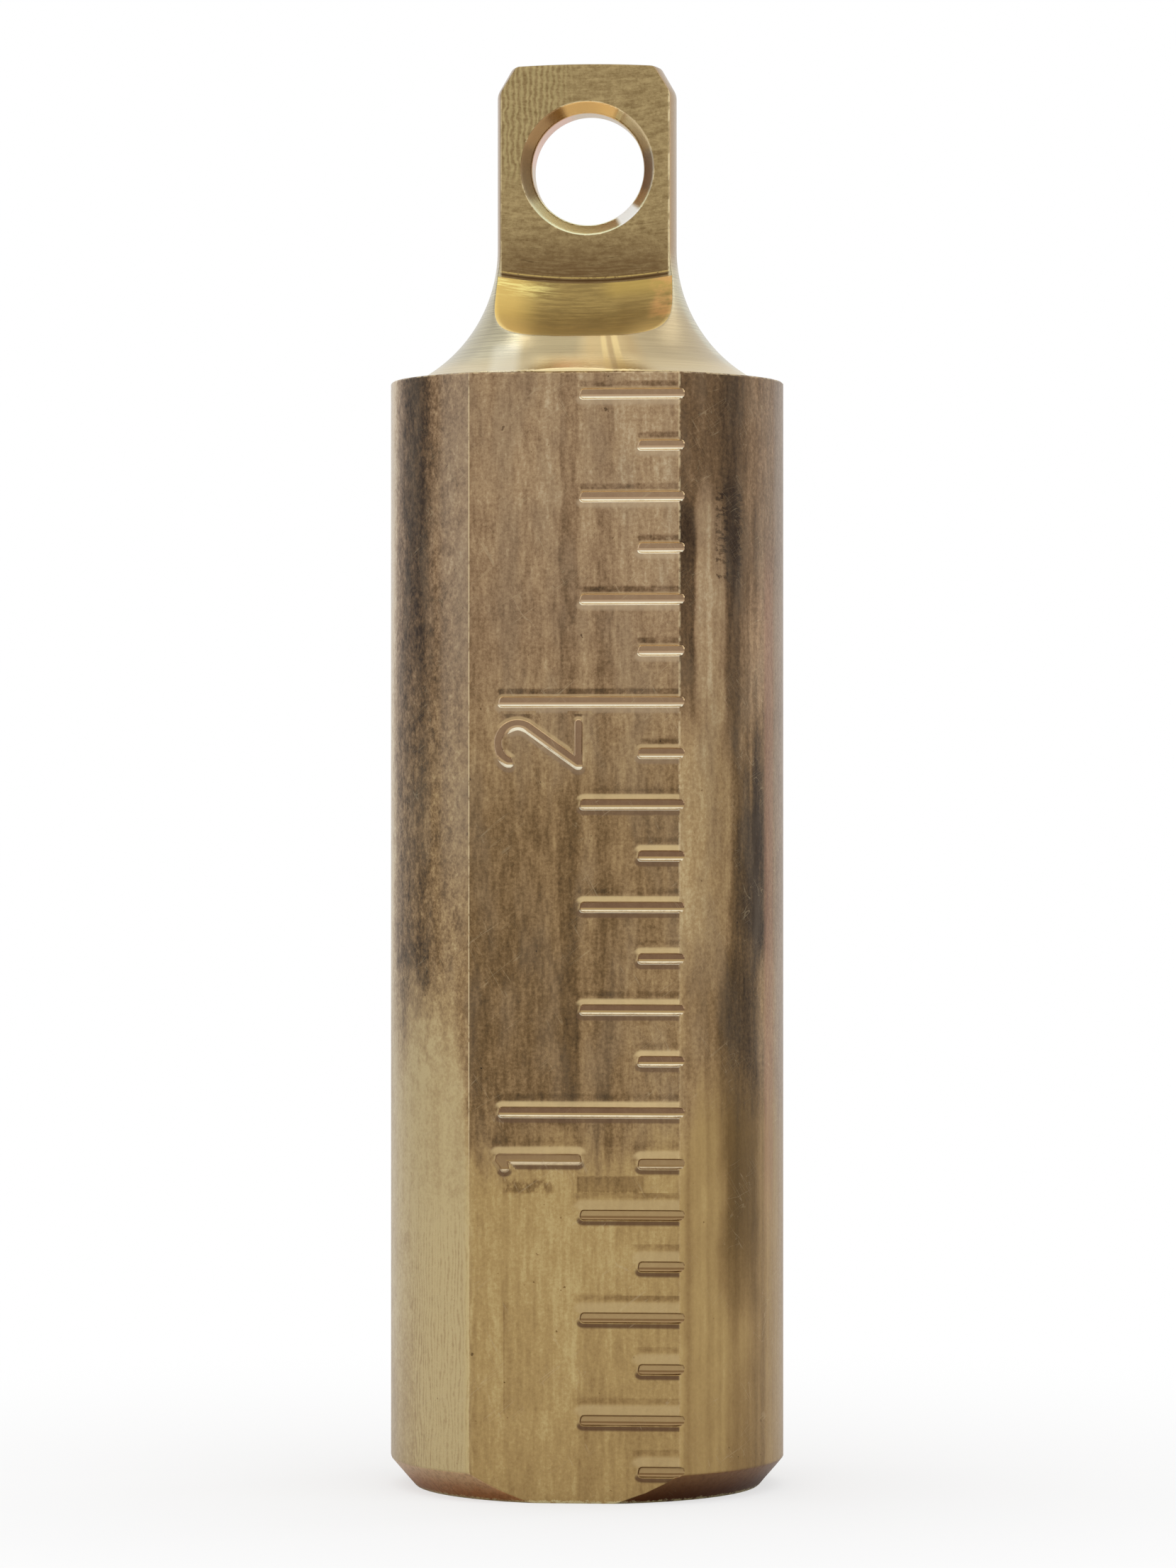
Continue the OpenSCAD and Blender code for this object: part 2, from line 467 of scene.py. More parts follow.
def line(g, a, b):
    """A straight stroke between two places of a drawing."""
    return g.node("GeometryNodeCurvePrimitiveLine", inputs={
        "Start": (a[0] * MM, a[1] * MM, 0), "End": (b[0] * MM, b[1] * MM, 0)})


def gather(g, parts):
    """All the parts as one geometry."""
    joined = g.tree.nodes.new("GeometryNodeJoinGeometry")
    for part in parts:
        g.tree.links.new(part.socket, joined.inputs[0])
    return Socket(g.tree, joined.outputs[0])


def mark_strokes(g, size):
    """A line for every mark, from past the flat's right edge to the mark's end."""
    k = g.node("GeometryNodeInputIndex") + 1
    is_inch = (k / size["Divisions"]).fraction().fall(0, 0.01)
    is_quarter = (k / (size["Divisions"] / 4)).fraction().fall(0, 0.01)
    length = size["Fine mark"] + (size["Quarter mark"] - size["Fine mark"]) * is_quarter
    length = length + (size["Inch mark"] - size["Quarter mark"]) * is_inch
    height = k * size["Mark pitch"] - size["Foot above zero"]
    start = (FLAT_HALF_W + MARK_OVERRUN) * MM
    points = g.node("GeometryNodePoints", inputs={
        "Count": size["Marks"], "Position": g.join(start, FLAT_Y * MM, height)})
    unit = g.node("GeometryNodeCurvePrimitiveLine", inputs={"End": (-1, 0, 0)})
    reach = length + MARK_OVERRUN * MM - size["Groove width"] / 2
    return g.node("GeometryNodeInstanceOnPoints", inputs={
        "Points": points, "Instance": unit, "Scale": g.join(reach, 1, 1)})


def numeral_strokes(g):
    """The lines of the 1 and the 2, each lying on its side below its own mark."""
    top = (ONE_STEM, DIGIT_H - STROKE_INSET)
    one = gather(g, [line(g, (ONE_STEM, STROKE_INSET), top),
                     line(g, top, (top[0] - ONE_FLAG_W, top[1] - ONE_FLAG_H))])
    bowl_r = DIGIT_W / 2
    bowl = (bowl_r, DIGIT_H - bowl_r)
    far = math.hypot(*bowl)
    leg_angle = math.atan2(bowl[1], bowl[0]) - math.asin(bowl_r / far)
    leg = math.sqrt(far**2 - bowl_r**2)
    arc = g.node("GeometryNodeCurveArc", {"mode": "RADIUS"}, {
        "Resolution": 32, "Radius": bowl_r * MM, "Start Angle": leg_angle - math.pi / 2,
        "Sweep Angle": math.radians(TWO_BOWL_END) - leg_angle + math.pi / 2})
    arc = g.node("GeometryNodeTransform", inputs={
        "Geometry": arc, "Translation": (bowl[0] * MM, bowl[1] * MM, 0)})
    two = gather(g, [arc, line(g, (0, 0), (DIGIT_W, 0)),
                     line(g, (0, 0), (leg * math.cos(leg_angle), leg * math.sin(leg_angle)))])
    digits = []
    for number, drawing in ((1, one), (2, two)):
        low = mark_z(number * DIVISIONS) - DIGIT_DROP - DIGIT_W
        digits.append(g.node("GeometryNodeTransform", inputs={
            "Geometry": drawing, "Rotation": (math.pi / 2, -math.pi / 2, 0),
            "Translation": ((FLAT_HALF_W - DIGIT_BASE) * MM, FLAT_Y * MM, low * MM)}))
    return digits


def stamp_tree(material):
    """Geometry nodes that stamp the marks and numerals into the flat: lines for the
    strokes, then a groove with raised lips along every line."""
    tree = bpy.data.node_groups.new("stamped_scale", "GeometryNodeTree")
    g = Graph(tree)
    for way in ("OUTPUT", "INPUT"):
        tree.interface.new_socket(name="Geometry", in_out=way, socket_type="NodeSocketGeometry")
    sizes = {
        "Mark pitch": MARK_PITCH * MM, "Foot above zero": FOOT_ABOVE_ZERO * MM,
        "Divisions": DIVISIONS, "Marks": MARK_COUNT, "Inch mark": INCH_MARK * MM,
        "Quarter mark": QUARTER_MARK * MM, "Fine mark": FINE_MARK * MM,
        "Groove width": MARK_W * MM, "Groove depth": MARK_DEPTH * MM,
        "End depth": END_DEPTH * MM, "Lip width": LIP_W * MM, "Lip height": LIP_H * MM,
    }
    for name, value in sizes.items():
        kind = "NodeSocketInt" if name == "Marks" else "NodeSocketFloat"
        tree.interface.new_socket(name=name, in_out="INPUT", socket_type=kind)
    entry = tree.nodes.new("NodeGroupInput")
    size = {s.name: Socket(tree, s) for s in entry.outputs if s.name}
    edge = FLAT_HALF_W * MM
    flat = FLAT_Y * MM

    strokes = gather(g, [mark_strokes(g, size)] + numeral_strokes(g))
    strokes = g.node("GeometryNodeRealizeInstances", inputs={"Geometry": strokes})
    strokes = g.node("GeometryNodeCurveToMesh", inputs={"Curve": strokes})
    where = g.node("GeometryNodeInputPosition")
    x, y, z = g.split(where)
    nearest = g.node("GeometryNodeProximity", {"target_element": "EDGES"},
                     {0: strokes, "Sample Position": g.join(x, flat, z)}, out="Position")
    distance = Socket(tree, nearest.socket.node.outputs["Distance"])

    half = size["Groove width"] / 2
    # The lower wall is the gentler one, so below a line distances count for less
    nearest_z = g.split(nearest)[2]
    below = ((nearest_z - z) / distance.max(0.00001)).step(0.1, 1)
    distance = distance / (1 + LOWER_WALL * below)
    # Past the flat's edge the groove tapers as the round side falls away from it
    behind = (y - flat).max(0)
    from_line = (distance * distance + behind * behind) ** 0.5
    groove = from_line.fall(half * 0.78, half * 1.03)
    uneven = g.node("ShaderNodeTexNoise", inputs={"Vector": where, "Scale": 700.0, "Detail": 3.0})
    lip = distance.step(half * 0.95, half * 1.2)
    lip = lip * distance.fall(half * 1.15, half + size["Lip width"])
    lip = lip * uneven.step(0.1, 0.6)
    on_flat = g.node("GeometryNodeInputNamedAttribute", {"data_type": "FLOAT"},
                     {"Name": "scale_flat"}, out="Attribute")
    # The stamp went in deeper at the flat's edge, so each mark runs a little way past it
    near_edge = x.step(edge - 0.35 * MM, edge)
    deep = size["Groove depth"] + (size["End depth"] - size["Groove depth"]) * near_edge
    floor = flat + deep * groove * (0.8 + 0.4 * uneven)
    cut = y.max(floor.min(flat + size["End depth"])) - size["Lip height"] * lip * on_flat
    front = y.fall(-0.001, 0)
    shaped = size["Geometry"]
    for name, value in (("stroke_distance", distance / MM),
                        ("stroke_rise", (z - nearest_z) / MM),
                        ("stroke_cut", (cut - y) * front / MM)):
        shaped = g.node("GeometryNodeStoreNamedAttribute",
                        {"data_type": "FLOAT", "domain": "POINT"},
                        {"Geometry": shaped, "Name": name, "Value": value})
    shaped = g.node("GeometryNodeSetPosition", inputs={
        "Geometry": shaped, "Position": g.join(x, y + (cut - y) * front, z)})
    shaped = g.node("GeometryNodeRealizeInstances", inputs={"Geometry": shaped})
    shaped = g.node("GeometryNodeSetMaterial", inputs={"Geometry": shaped, "Material": material})
    g.node("NodeGroupOutput", inputs={"Geometry": shaped})
    return tree, sizes


def stamp(piece, material):
    """Runs the stamping on the body and keeps the result as a plain mesh."""
    tree, sizes = stamp_tree(material)
    modifier = piece.modifiers.new("scale", "NODES")
    modifier.node_group = tree
    for socket in tree.interface.items_tree:
        if socket.in_out == "INPUT" and socket.name in sizes:
            modifier[socket.identifier] = sizes[socket.name]
    graph = bpy.context.evaluated_depsgraph_get()
    result = bpy.data.meshes.new_from_object(piece.evaluated_get(graph),
                                             preserve_all_data_layers=True, depsgraph=graph)
    piece.modifiers.remove(modifier)
    piece.data = result


def soft_max(a, b, radius):
    """The larger of a and b, with the edge between them rounded."""
    return np.maximum(a, b) + np.maximum(radius - np.abs(a - b), 0) ** 2 / (4 * radius)


def stem_parts(p):
    """Distances from points to the stem's machined surfaces, negative inside."""
    x, y, z = p[..., 0], p[..., 1], p[..., 2]
    h = z - SHOULDER
    top = STEM_TOP - SHOULDER
    r = np.hypot(x, y)
    flare = FLARE_R - np.hypot(r - NECK_R - FLARE_R, h - FLARE_H)
    turned = np.where(h < FLARE_H, flare, r - NECK_R)
    slope = math.hypot(END_CHAMFER_W, END_CHAMFER_H)
    below_end = h - top + CROWN_H + END_CHAMFER_H
    end = ((r - NECK_R) * END_CHAMFER_H + below_end * END_CHAMFER_W) / slope
    end_r = NECK_R - END_CHAMFER_W
    crown_r = (end_r**2 + CROWN_H**2) / (2 * CROWN_H)
    crown = np.hypot(r, h - top + crown_r) - crown_r
    out = np.abs(y)
    reach = np.hypot(x, h - COVE_LOW - COVE_R - CUTTER_SWING)
    cove = np.hypot(np.maximum(reach - CUTTER_SWING, 0), np.maximum(COVE_OUT - out, 0)) - COVE_R
    milled = np.minimum(-cove, out - TANG_HALF)
    from_eye = np.hypot(x - EYE_X, z - EYE_Z)
    bore = EYE_R - from_eye
    mouth = (EYE_MOUTH_R - TANG_HALF + out - from_eye) / math.sqrt(2)
    return [turned, end, crown, milled, FLAT_Y - y, -h], [bore, mouth]


def stem_distance(p):
    outside, eye = stem_parts(p)
    head = outside[0]
    for part in outside[1:]:
        head = soft_max(head, part, STEM_ROUND)
    for part in eye:
        head = soft_max(head, part, EYE_ROUND)
    r = np.hypot(p[..., 0], p[..., 1])
    spigot = np.maximum(np.maximum(r - SPIGOT_R, STEM_LOW.z - p[..., 2]), p[..., 2] - SHOULDER - 1)
    return np.minimum(head, spigot)


def gradient(distance, points, step=0.01):
    """Slope of distance at points."""
    slopes = [distance(points + step * unit) - distance(points - step * unit)
              for unit in np.eye(3)]
    return np.stack(slopes, -1) / (2 * step)


def skin(name, distance, axes):
    """A closed mesh where distance is 0: one point in each cell that the surface
    crosses, moved onto it, and one quad round each grid edge that it crosses."""
    grid = np.stack(np.meshgrid(*axes, indexing="ij"), -1)
    inside = distance(grid) < 0
    corners = sum(inside[i:inside.shape[0] - 1 + i, j:inside.shape[1] - 1 + j,
                         k:inside.shape[2] - 1 + k].astype(np.int8)
                  for i in (0, 1) for j in (0, 1) for k in (0, 1))
    active = (corners > 0) & (corners < 8)
    number = np.full(active.shape, -1)
    number[active] = np.arange(active.sum())
    cells = np.argwhere(active)
    middles = [(a[1:] + a[:-1]) / 2 for a in axes]
    points = np.stack([m[cells[:, i]] for i, m in enumerate(middles)], -1)
    for _ in range(8):
        slope = gradient(distance, points)
        size = np.maximum((slope**2).sum(-1), 0.2)
        points -= 0.8 * (distance(points) / size)[:, None] * slope
    faces = []
    for axis in range(3):
        low = [slice(None)] * 3
        high = [slice(None)] * 3
        low[axis], high[axis] = slice(None, -1), slice(1, None)
        before, after = inside[tuple(low)], inside[tuple(high)]
        edges = np.argwhere(before != after)
        starts_inside = before[tuple(edges.T)]
        u, v = (axis + 1) % 3, (axis + 2) % 3
        steps = np.zeros((4, 3), int)
        steps[1, u] = steps[2, u] = steps[2, v] = steps[3, v] = -1
        quad = np.stack([number[tuple((edges + s).T)] for s in steps], -1)
        quad[~starts_inside] = quad[~starts_inside][:, ::-1]
        faces.append(quad)
    faces = np.concatenate(faces)
    return make_mesh(name, points, faces[(faces >= 0).all(1)])


def eye_stem():
    """The stem: a skin over the same machined surfaces as its CAD solid."""
    spread = math.ceil((STEM_HIGH.x + 0.3) / STEM_CELL) * STEM_CELL
    across = np.arange(-spread, spread + STEM_CELL / 2, STEM_CELL)
    below = np.arange(STEM_LOW.z - SPIGOT_CELL, SHOULDER - 0.3, SPIGOT_CELL)
    above = np.arange(SHOULDER - 0.3, STEM_TOP + 3 * STEM_CELL, STEM_CELL)
    return skin("machined_stem", stem_distance, [across, across, np.concatenate([below, above])])


def within(value, window):
    """How far a value is inside a window. Three numbers are a band's centre, its half
    width and its soft border; two are where a smooth run has its 0 and its 1."""
    if len(window) == 3:
        return value.band(*window)
    zero, one = window
    return value.step(zero, one) if zero < one else value.fall(one, zero)


def stained(tarnish, stains, across, up):
    """A tarnish with stains added, each an amount, a window across and a window up."""
    for amount, *windows in stains:
        for value, window in zip((across, up), windows):
            if window:
                amount = amount * within(value, window)
        tarnish = tarnish + amount
    return tarnish


# Stains on the scale's flat: the amount, a window in mm right of the middle, and a
# window in mm above the foot
FLAT_STAINS = (
    (-0.04, None, (59, 64)), (0.06, None, (49, 6, 4)), (0.16, None, (31, 8.5, 8)),
    (0.06, (2.4, -1.0), (31, 8.5, 8)), (-0.04, (0.2, 0.6), None),
    (0.10, (-0.35, 0.45, 0.2), None), (0.10, (1.9, 0.42, 0.25), None),
    (-0.04, (-1.5, 0.4, 0.3), None), (-0.05, (0.75, 0.3, 0.15), None),
    (-0.05, (2.2, 3.2), None), (0.04, (-5.6, -6.2), None),
    (-0.05, (1, -0.5), (43, 5, 5)), (0.05, (3.4, 4.8), (45, 7, 5)),
)
LOW_FLAT_STAINS = (
    (-0.03, (-0.35, 0.45, 0.3), None), (0.03, (0.75, 0.3, 0.3), None),
    (0.02, (2.0, 2.6), None), (-0.04, (0.2, 2.0, 0.8), None),
    (0.02, None, (9, 3)), (0.03, None, (12, 8)),
)
# Places low on the flat where something was rubbed off
RUBBED = (
    (0.04, (-2.85, 1.5, 0.08), (9, 3.2, 0.2)), (0.10, (-4.35, 0.03, 0.04), (9, 3.3, 0.3)),
    (0.04, (1.1, 0.75, 0.3), (8.5, 3.5, 1.5)),
)

# Stains on the round side, with bands that are painted reflections of the dark gaps beside
# the object: the amount, a window in degrees from the middle of the flat, and a window in mm
# above the foot
LEFT_STAINS_AND_REFLECTIONS = (
    (0.24, (-59, 5, 9), None), (0.10, (-59, 5, 9), (46, 54)), (0.12, (-46, 4, 6), None),
    (-0.38, (-67, -80), None), (-0.12, (-67, -80), (28, 34)),
    (-0.20, (-58, -67), (49, 57)), (-0.05, (-45, -41), (52, 58)),
    (0.12, (-54, 4, 6), (50, 62)), (-0.06, (-58, 8, 6), (39, 3, 2.5)),
    (0.06, (-58, 10, 6), (32, 2.5, 2)), (-0.05, (-41, 3, 4), (52, 45)),
)
LOW_LEFT_STAINS = (
    (0.06, (-67, -80), None), (0.06, (-45, -60), (12, 5)),
    (-0.11, (-60, -44), (22, 15)), (0.05, (-46, -56), (14, 7)),
)
UPPER_RIGHT_STAINS = (
    (0.04, None, (46, 50)), (0.07, (56, 62), None), (0.24, (61, 54), (54, 61)),
    (-0.34, (39.5, 1.5, 2.5), (56, 5, 3)),
)
DARK_REFLECTION_BAND = ((0.27, None, (9, 18)), (0.16, None, (36, 6, 5)), (-0.12, None, (51, 3, 3)),
             (-0.22, None, (60, 65)))
RIGHT_STAINS = (
    (0.05, (56, 8, 10), (58, 63)), (0.12, (50, 2, 5), (58, 63)),
    (0.11, (60, 68), (54, 60)), (-0.24, (44.5, 2, 2.5), (55, 6, 2)),
    (-0.17, (50, 2, 2), (55, 5, 3)), (0.15, (50, 1.5, 3.5), (54, 6, 3)),
    (-0.22, (57, 2, 3), (53, 9, 3)), (0.10, (51, 1.5, 2.5), (52, 6, 3)),
    (0.09, (43.5, 2, 2), (52, 2.5, 2)), (0.08, (38, 2, 2), (52, 3, 2)),
    (0.15, (56, 1.5, 2.5), (50, 6, 4)), (0.08, (66, 70), (42, 6, 3)),
    (0.09, (44.5, 2, 3), (42, 5, 3)), (0.16, (63, 4, 6), (41.5, 5.5, 3)),
    (-0.09, (38, 8, 5), (41.5, 5.5, 3)), (-0.10, (57, 2, 3), (50, 46)),
    (0.07, (63.5, 3, 3), (50, 46)), (-0.05, (46, 38), (50, 46)),
    (-0.09, (62, 2, 2.5), (49, 45)), (-0.05, (37, 34), (44, 40)),
    (0.18, (37.5, 3, 3), (37, 31)), (-0.11, (38, 1.5, 2), (33, 28)),
    (0.06, (63.5, 3, 3), (30, 26)), (0.09, (59, 4, 4), (22, 9, 3)),
    (0.09, (44, 1.5, 2), (26, 20)), (-0.11, (44, 3, 5), (24, 18)),
    (0.08, (60, 4, 6), (11, 7)), (0.07, (55.5, 2, 3), (11, 7)),
)

# Colours of the body's brass from bare to black-brown, and what tints them
TARNISH_COLOURS = (
    (0.0, (200, 178, 144)), (0.2, (175, 147, 112)), (0.4, (149, 121, 91)),
    (0.6, (118, 93, 67)), (0.8, (90, 71, 52)), (1.0, (62, 48, 37)),
)
GOLDEN_TINT = (1.02, 1.02, 0.76, 1)
HALF_WAY_TINT = (1, 1, 0.87, 1)

# Painted reflections on the flare: the share, a window in degrees from the front, and the colour
FLARE_REFLECTIONS = (
    (0.8, (-12, 11, 8), (176, 158, 118)), (0.8, (14, 8, 8), (208, 180, 126)),
    (0.65, (46, 22, 8), (178, 154, 112)), (0.3, (-72, 20, 8), (160, 150, 124)),
)
# Painted reflections in the polished countersink in the same way, in degrees clockwise from
# its top, with a painted orange reflection at the top and a white painted highlight at GLINT
RING_TOP_REFLECTION = (2, 22, 8)
GLINT = (139, 8, 6)
RING_REFLECTIONS = (
    (1.0, RING_TOP_REFLECTION, (255, 212, 144)), (0.8, (58, 16, 12), (212, 192, 150)),
    (0.8, (92, 14, 10), (168, 158, 140)), (0.8, (-45, 18, 10), (164, 128, 86)),
    (0.7, (-94, 20, 12), (122, 92, 62)), (1.0, GLINT, (255, 254, 248)),
    (0.5, (31, 1.5, 2.5), (255, 240, 190)),
)


def flat_tarnish(s):
    """Tarnish of the scale's flat: drawn-out stripes, darkest half way up and golden
    towards the foot."""
    x = s.x + 0.9 * (s.noise((1.2, 1, 0.25), 1.0, 4, 0.6, 29.0) - 0.5)
    upper = stained(0.33, FLAT_STAINS, x, s.z)
    lower = stained(0.205, LOW_FLAT_STAINS, x, s.z)
    lower = stained(lower, RUBBED, s.x, s.z)
    return upper + (lower - upper) * s.golden


def round_tarnish_and_reflections(s):
    """Tarnish of the round side, with a brown band to the left of the flat and a darker one to
    its right that are painted reflections of the dark gaps beside the object, and slow
    changes over the back."""
    around = s.around + 2.5 * (s.noise((1, 1, 0.35), 0.75, 4, 0.6, 57.0) - 0.5)
    z = s.z + 3 * (s.noise((1, 1, 0.6), 0.6, 3, 0.6, 59.0) - 0.5)
    left = stained(0.36, LEFT_STAINS_AND_REFLECTIONS, around, z)
    low_left = stained(0.08, LOW_LEFT_STAINS, around, z)
    left = left + (low_left - left) * s.golden

    right = stained(0.33 - 0.06 * s.golden, UPPER_RIGHT_STAINS, around, z)
    right = right + 0.32 * around.fall(36, 38.5) * z.step(47, 53) * z.fall(60, 64)
    # The darkest band, a painted reflection of the dark gap to the right, wanders a little on
    # its way down
    drift = 6 * (s.noise((0.3, 0.3, 0.35), 0.5, 2, 0.5, 37.0) - 0.5)
    across = around + drift - (52 + 4 * z.band(41, 5, 6))
    soft = 6 + 4.5 * z.band(31, 4, 5)
    dark = (1 - (-across).step(2, 2 + soft)) * across.fall(6, 14)
    strong = stained(0.12, DARK_REFLECTION_BAND, around, z)
    right = right.max(right * 0.6 + 0.11 + strong * dark)
    right = stained(right, RIGHT_STAINS, around, z)

    sides = left + (right - left) * around.step(-20, 20)
    back = 0.42 + 0.12 * (around.size() * 0.11).sine()
    return sides + (back - sides) * around.size().step(74, 100)


class BodySurface(Surface):
    """Old brown brass, with the patterns that the body's colours share."""

    def __init__(self):
        super().__init__("tarnished_brass")
        self.around = around = self.x.angle(-self.y)
        self.on_flat = self.attribute("scale_flat").step(0.2, 0.8)
        self.cut = self.attribute("stroke_cut")
        self.front = self.on_flat.max(self.cut.step(0.004, 0.03))
        self.cloud = self.noise((1, 1, 0.45), 0.32, 4, 0.6) - 0.5
        self.mottle = self.noise((1, 1, 0.75), 1.3, 5, 0.66, 3.0)
        self.grain = self.noise((1, 1, 1), 4.4, 3, 0.7, 7.0)
        self.fine = self.grain - 0.5
        self.drawn = self.noise((2.6, 2.6, 0.05), 1.0, 3, 0.5, 11.0) - 0.5
        # The flat and the side to its right are drawn, the left side and the back mottled
        self.smooth = self.on_flat.max(around.step(15, 40) * around.fall(74, 100))
        streaks = self.noise((1, 1, 0.22), 2.6, 5, 0.62, 73.0) - 0.5
        blots = self.mottle - 0.5
        self.speck = blots + (streaks - blots) * (0.75 * self.smooth)

        # Handling has kept the brass golden below a line that is higher on the left
        self.on_left = around.fall(-38, -30)
        line = 22.3 + 7.6 * self.on_left + 3 * around.step(33, 40)
        soft = 3.2 + 1.8 * self.on_left
        worn = self.z + 5 * self.cloud + 4 * self.speck
        self.golden = worn.fall(line - soft, line + soft)

        # Where a place lies about its nearest stroke, with bearing 1 straight above it
        # and -1 straight below, and which marks it is near
        self.d = self.attribute("stroke_distance")
        self.level = self.attribute("stroke_rise")
        self.bearing = self.level / self.d.max(0.02)
        self.high = self.z.step(41, 53)
        self.low = 1 - (self.z + 2 * self.cloud).step(18, 25)
        self.middle = (1 - self.high - self.low).max(0)
        self.patchy = 0.3 + 0.7 * self.noise((0.45, 1, 1.0), 1.1, 4, 0.6, 19.0).step(0.32, 0.6)


def smudges(s):
    """Dark smudges under the 1, and spots and soot scattered over the round side."""
    blot = s.mottle.step(0.40, 0.56)
    under_one = (s.z + 0.5 * s.speck).band(19.75, 0.42, 0.12) * s.x.band(2.25, 2.0, 0.12)
    under_one = under_one + s.z.band(19.6, 0.25, 0.3) * s.x.band(-2.85, 1.4, 0.3) * blot * 1.5
    spots = s.noise((1, 1, 1), 1.9, 2, 0.5, 23.0).step(0.75, 0.79)
    soot = s.noise((1, 1, 2.6), 1.5, 4, 0.7, 31.0).step(0.46, 0.58)
    soot = soot * (s.around.band(46.5, 2.0, 0.8) + 0.7 * s.around.band(53, 1.6, 1.2))
    soot = soot * (s.z + 2 * s.speck).band(60.2, 2.6, 0.5)
    return 0.2 * under_one * s.front + 0.35 * spots + 0.34 * soot * (1 - s.front)


def mark_soot_and_shade(s):
    """Dark patches a little way above the marks: partly dirt and partly painted shade on the
    raised metal round the marks.
    """
    by_low = s.d.band(1.16, 0.05, 0.3) * s.low * (0.4 + 0.35 * s.z.step(9, 14))
    by_high = s.d.band(0.74 - 0.2 * s.high, 0.08, 0.18) * s.z.step(42, 48)
    between = 0.45 * s.d.band(0.9, 0.06, 0.2) * s.middle * s.z.fall(42, 48)
    straight_above = s.bearing.step(0.8, 0.95)
    return 0.34 * (by_low + by_high + between) * straight_above * s.patchy * s.front


def body_tarnish_and_shade(s):
    """How far the body's brass has tarnished, from 0 for bare to 1 for black-brown, with the
    painted shade above the marks and the painted reflections on the round side added in.
    """
    sides = round_tarnish_and_reflections(s)
    tarnish = sides + (flat_tarnish(s) - sides) * s.front
    contrast = 1 - 0.55 * s.golden + 0.18 * s.on_flat + 0.3 * s.on_left
    contrast = contrast - 0.25 * (s.smooth - s.on_flat).max(0)
    tarnish = tarnish + 0.26 * s.cloud + 0.8 * contrast * s.speck
    tarnish = tarnish + (0.72 - 0.16 * s.on_flat) * contrast * s.fine
    tarnish = tarnish + (0.12 + 0.06 * s.on_flat + 0.06 * s.golden) * s.drawn
    foil = s.noise((1, 1, 0.7), 2.4, 4, 0.75, 83.0) - 0.5
    flecked = s.around.band(-50, 14, 6) * (1 - s.front) * (1 - s.golden) * s.z.step(24, 34)
    tarnish = tarnish + 0.8 * flecked * foil
    on_shoulder = s.z.step(SHOULDER - 0.03, SHOULDER - 0.01)
    tarnish = tarnish + (0.40 + 0.3 * s.speck + 0.2 * s.fine - tarnish) * on_shoulder
    return tarnish + 0.15 * turning_chatter(s) + smudges(s) + mark_soot_and_shade(s)


def body_colour(s, tarnish):
    """The colour of tarnished brass, with grey, lilac and rosy patches, and a pale painted
    reflection low on the left.
    """
    stops = [(place, srgb(*tint)) for place, tint in TARNISH_COLOURS]
    colour = s.node("ShaderNodeValToRGB", {"stops": stops}, {"Fac": tarnish})
    around, brown, turned_away = s.around, 1 - s.golden, s.around.size()
    in_front = 1 - 0.6 * turned_away.step(75, 110)
    colour = s.mix(s.golden * in_front, colour, GOLDEN_TINT, "MULTIPLY")
    half_way = brown * s.z.fall(42, 56) * turned_away.fall(64, 90)
    colour = s.mix(half_way, colour, HALF_WAY_TINT, "MULTIPLY")
    grey = s.noise((1, 1, 0.3), 0.5, 3, 0.5, 41.0).step(0.42, 0.66)
    # A pale painted reflection of the bright panel to the left, low on the left side
    pale = s.golden * around.fall(-34, -30) * around.step(-90, -80)
    lilac = around.band(-36, 4, 5) * s.z.step(30, 45) * (1 - s.front)
    lilac = lilac + around.band(84, 6, 5) * s.z.step(14, 30)
    rosy = around.band(70.5, 2.2, 2) * s.z.band(38, 16, 8)
    return s.paint(colour, (0.2 * grey * brown, (138, 122, 102)), (0.4 * pale, (176, 160, 130)),
                   (0.3 * lilac, (156, 142, 126)), (0.35 * rosy, (150, 106, 88)))


def foot_colours(s, colour):
    """The foot's chamfer, which faces down, in painted shade: dark red-brown on the right,
    lighter in painted light on the left and towards its top edge, plain at the back, with
    darker streaks.
    """
    chamfer = s.z.fall(FOOT_CHAMFER_H - 0.08, FOOT_CHAMFER_H + 0.04) * (1 - s.front)
    up = (s.z + 0.9 * s.speck + 0.5 * s.cloud).step(0.1, 1.9)
    # Painted light and shade: lighter on the left and towards the top, darker on the right
    left = s.mix(up, (176, 124, 78), (200, 168, 128))
    right = s.mix(up, (96, 56, 28), (132, 96, 62))
    back = s.mix(up, (128, 100, 66), (162, 136, 98))
    streaks = (0.5 + s.drawn + 2 * s.fine).step(0.3, 0.9)
    foot = s.paint(left, (s.x.step(-4, 4), right), (s.y.step(-1, 6), back),
                   (0.3 * streaks, (84, 52, 30)))
    return s.mix(chamfer, colour, foot)


